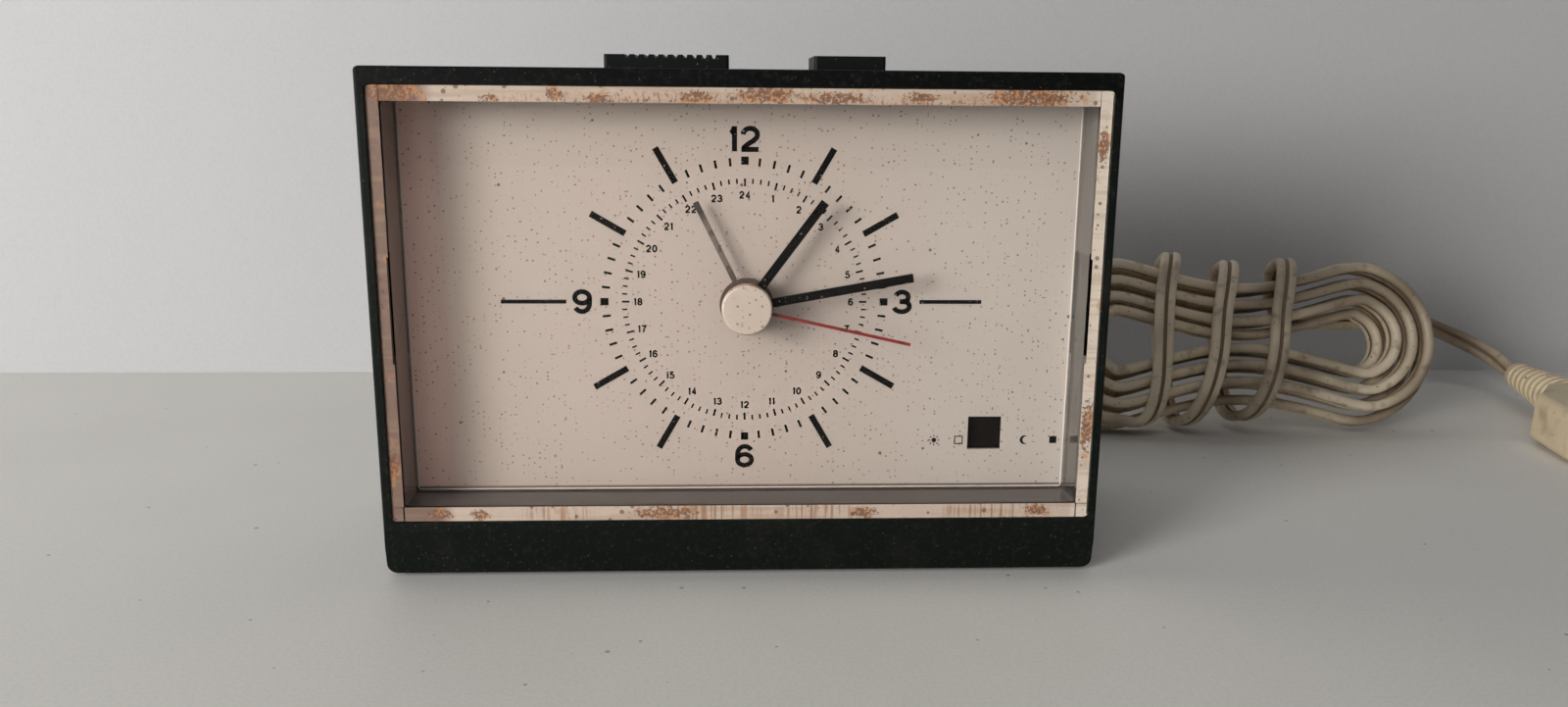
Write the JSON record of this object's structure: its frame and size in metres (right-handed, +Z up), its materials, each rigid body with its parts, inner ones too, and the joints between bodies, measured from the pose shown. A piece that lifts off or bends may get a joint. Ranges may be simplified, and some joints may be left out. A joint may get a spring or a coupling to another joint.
{
  "type": "electric alarm clock",
  "caption": "Low, wide mains alarm clock with a box lens over its dial, two keys on top, setting knobs behind, and its wound lead with plug beside it.",
  "frame": {"origin": "middle of the clock's footprint, on the shelf it stands on", "axes": "+X to the right as seen from the front, +Y from the dial to the rear cover, +Z up"},
  "size_m": [0.3292, 0.1572, 0.1025],
  "materials": {
    "case_green": "fine moulded grain",
    "lens_clear": "clear, polished",
    "dial_cream": "matt, printed",
    "steel": "plain",
    "rubber_black": "matt",
    "hand_black": "semi-matt",
    "hand_red": "semi-matt",
    "hand_grey": "semi-matt",
    "cap_cream": "smooth",
    "button_black": "smooth",
    "brass": "plain",
    "nylon_ivory": "smooth",
    "disc_black": "matt",
    "rotor_grey": "ground",
    "core_steel": "laminated",
    "winding_copper": "enamelled",
    "cord_cream": "satin vinyl",
    "plug_ivory": "satin",
    "pin_nickel": "nickel plated"
  },
  "bodies": {
    "case": {"case_shell": "case_green", "lens": "lens_clear", "dial_plate": "dial_cream", "rear_cover": "case_green", "cover_screws": "steel", "rubber_feet": "rubber_black", "bar_springs": "steel", "button_spring": "steel", "button_bridge": "steel", "front_plate": "brass", "rear_plate": "brass", "pillars": "steel", "dial_posts": "steel", "stator_core": "core_steel", "coil_bobbin": "nylon_ivory", "coil_winding": "winding_copper", "buzzer_reed": "steel", "cord_gland": "rubber_black", "cord_lead": "cord_cream", "cord_hank": "cord_cream", "cord_tail": "cord_cream", "plug_relief": "plug_ivory", "plug_body": "plug_ivory", "plug_pins": "pin_nickel"},
    "minute": {"minute_hand": "hand_black", "cannon_pinion": "brass"},
    "hour": {"hour_hand": "hand_black", "hour_wheel": "brass"},
    "minute_gear": {"minute_wheel": "brass"},
    "time_set": {"time_shaft": "steel", "time_knob": "button_black"},
    "day_gear": {"day_idler": "brass"},
    "day": {"day_wheel": "brass", "day_night_disc": "disc_black"},
    "alarm": {"alarm_hand": "hand_grey", "alarm_wheel": "brass"},
    "alarm_set": {"alarm_shaft": "steel", "alarm_knob": "button_black"},
    "seconds": {"second_hand": "hand_red", "centre_cap": "cap_cream", "seconds_wheel": "brass"},
    "third": {"third_wheel": "brass"},
    "centre": {"centre_wheel": "brass"},
    "second_reduction": {"second_reduction_wheel": "nylon_ivory"},
    "first_reduction": {"first_reduction_wheel": "nylon_ivory"},
    "motor_rotor": {"rotor": "rotor_grey"},
    "bar": {"ribbed_bar": "button_black"},
    "button": {"small_button": "button_black"}
  },
  "joints": [
    {"name": "time_set_turn", "type": "hinge", "parent": "case", "child": "time_set", "pos_m": [-0.01977, 0.006, 0.03374], "axis": [0, 1, 0], "continuous": true},
    {"name": "minute_turn", "type": "hinge", "parent": "case", "child": "minute", "pos_m": [0.0006, -0.016, 0.0541], "axis": [0, 1, 0], "continuous": true},
    {"name": "hour_turn", "type": "hinge", "parent": "case", "child": "hour", "pos_m": [0.0006, -0.018, 0.0541], "axis": [0, 1, 0], "continuous": true},
    {"name": "minute_gear_turn", "type": "hinge", "parent": "case", "child": "minute_gear", "pos_m": [-0.00958, -0.016, 0.04392], "axis": [0, 1, 0], "continuous": true},
    {"name": "day_gear_turn", "type": "hinge", "parent": "case", "child": "day_gear", "pos_m": [0.01678, -0.017, 0.04234], "axis": [0, 1, 0], "continuous": true},
    {"name": "day_turn", "type": "hinge", "parent": "case", "child": "day", "pos_m": [0.03701, -0.018, 0.02765], "axis": [0, 1, 0], "continuous": true},
    {"name": "alarm_set_turn", "type": "hinge", "parent": "case", "child": "alarm_set", "pos_m": [-0.01213, 0.006, 0.06683], "axis": [0, 1, 0], "continuous": true},
    {"name": "alarm_turn", "type": "hinge", "parent": "case", "child": "alarm", "pos_m": [0.0006, -0.02, 0.0541], "axis": [0, 1, 0], "continuous": true},
    {"name": "rotor_turn", "type": "hinge", "parent": "case", "child": "motor_rotor", "pos_m": [0.02907, -0.002, 0.0485], "axis": [0, -1, 0], "continuous": true},
    {"name": "first_reduction_turn", "type": "hinge", "parent": "case", "child": "first_reduction", "pos_m": [0.02397, -0.004, 0.05733], "axis": [0, 1, 0], "continuous": true},
    {"name": "second_reduction_turn", "type": "hinge", "parent": "case", "child": "second_reduction", "pos_m": [0.01307, -0.006, 0.0613], "axis": [0, 1, 0], "continuous": true},
    {"name": "seconds_turn", "type": "hinge", "parent": "case", "child": "seconds", "pos_m": [0.0006, -0.008, 0.0541], "axis": [0, 1, 0], "continuous": true},
    {"name": "third_turn", "type": "hinge", "parent": "case", "child": "third", "pos_m": [0.0006, -0.01, 0.03982], "axis": [0, 1, 0], "continuous": true},
    {"name": "centre_turn", "type": "hinge", "parent": "case", "child": "centre", "pos_m": [0.0006, -0.012, 0.0541], "axis": [0, 1, 0], "continuous": true},
    {"name": "bar_press", "type": "slide", "parent": "case", "child": "bar", "axis": [0, 0, -1], "range_m": [0, 0.0018], "stiffness_N_per_m": 400, "springref_m": -0.001, "deforming": ["bar_springs"]},
    {"name": "button_press", "type": "slide", "parent": "case", "child": "button", "axis": [0, 0, -1], "range_m": [0, 0.0018], "stiffness_N_per_m": 400, "springref_m": -0.001, "deforming": ["button_spring"]}
  ],
  "couplings": [
    {"joint": "minute_turn", "follows": "time_set_turn", "ratio": 1},
    {"joint": "hour_turn", "follows": "time_set_turn", "ratio": 0.083333},
    {"joint": "minute_gear_turn", "follows": "time_set_turn", "ratio": -0.33333},
    {"joint": "day_gear_turn", "follows": "time_set_turn", "ratio": -0.027778},
    {"joint": "day_turn", "follows": "time_set_turn", "ratio": 0.041667},
    {"joint": "alarm_turn", "follows": "alarm_set_turn", "ratio": -0.25},
    {"joint": "first_reduction_turn", "follows": "rotor_turn", "ratio": 0.13333},
    {"joint": "second_reduction_turn", "follows": "rotor_turn", "ratio": -0.021333},
    {"joint": "seconds_turn", "follows": "rotor_turn", "ratio": 0.0026667},
    {"joint": "third_turn", "follows": "rotor_turn", "ratio": -0.00033333},
    {"joint": "centre_turn", "follows": "rotor_turn", "ratio": 0.000044444}
  ]
}
